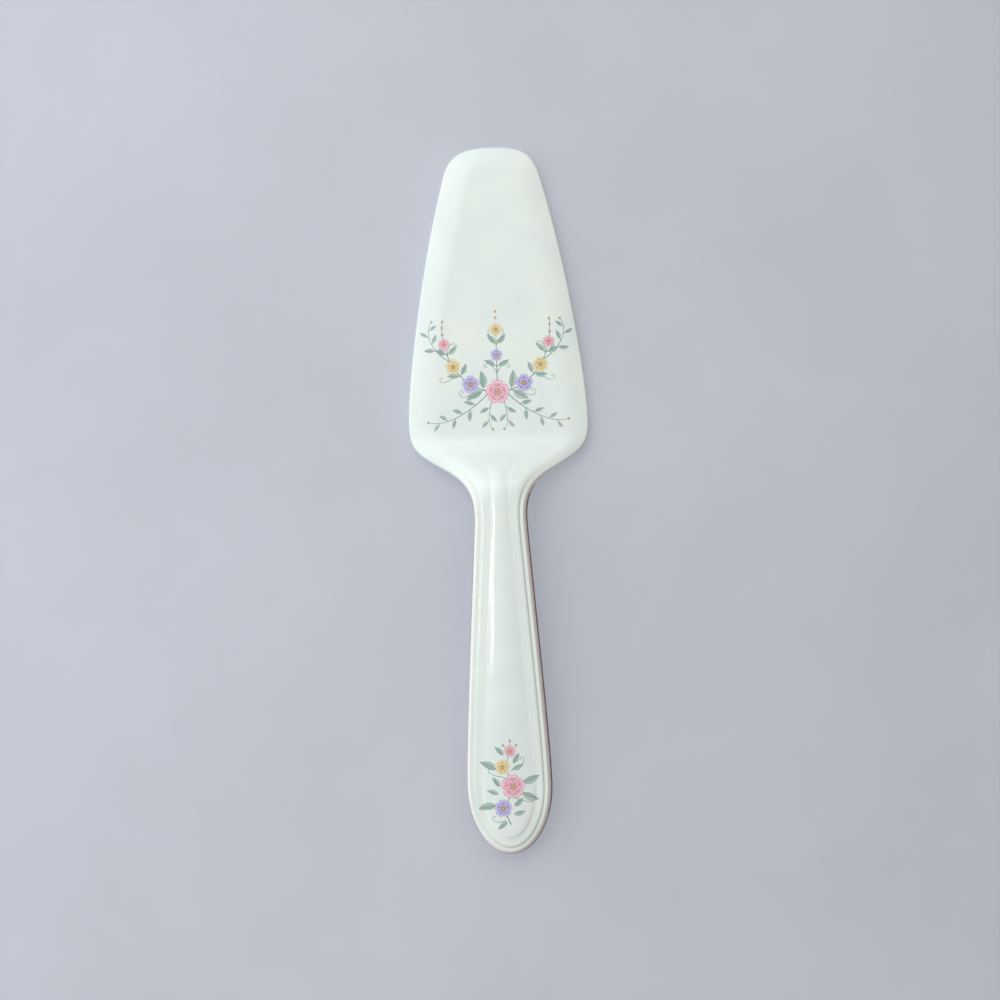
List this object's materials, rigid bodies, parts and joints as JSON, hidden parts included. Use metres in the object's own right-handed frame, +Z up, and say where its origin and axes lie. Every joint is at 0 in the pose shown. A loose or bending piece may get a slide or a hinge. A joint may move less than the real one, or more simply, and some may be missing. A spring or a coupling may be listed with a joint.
{
  "type": "cake server",
  "caption": "Glazed ceramic cake server with a flat tapering blade, an arched neck and a beaded handle, decorated with enamel flowers; it lies on its back on a table.",
  "frame": {"origin": "on the table, under the middle of the server's bounding box", "axes": "+X across the blade, +Y along the server towards the blade's tip, +Z up out of the serving face"},
  "size_m": [0.0654, 0.255, 0.0133],
  "materials": {
    "fired_clay": "bare fired clay, matt",
    "cream_glaze": "clear cream glaze, glossy",
    "green_enamel": "fired on-glaze enamel, glossy",
    "pink_enamel": "fired on-glaze enamel, glossy",
    "lilac_enamel": "fired on-glaze enamel, glossy",
    "yellow_enamel": "fired on-glaze enamel, glossy"
  },
  "bodies": {
    "root": {"clay_body": "fired_clay", "front_glaze": "cream_glaze", "back_glaze": "cream_glaze", "blade_green_enamel": "green_enamel", "blade_pink_enamel": "pink_enamel", "blade_lilac_enamel": "lilac_enamel", "blade_yellow_enamel": "yellow_enamel", "handle_green_enamel": "green_enamel", "handle_pink_enamel": "pink_enamel", "handle_lilac_enamel": "lilac_enamel", "handle_yellow_enamel": "yellow_enamel"}
  },
  "joints": []
}
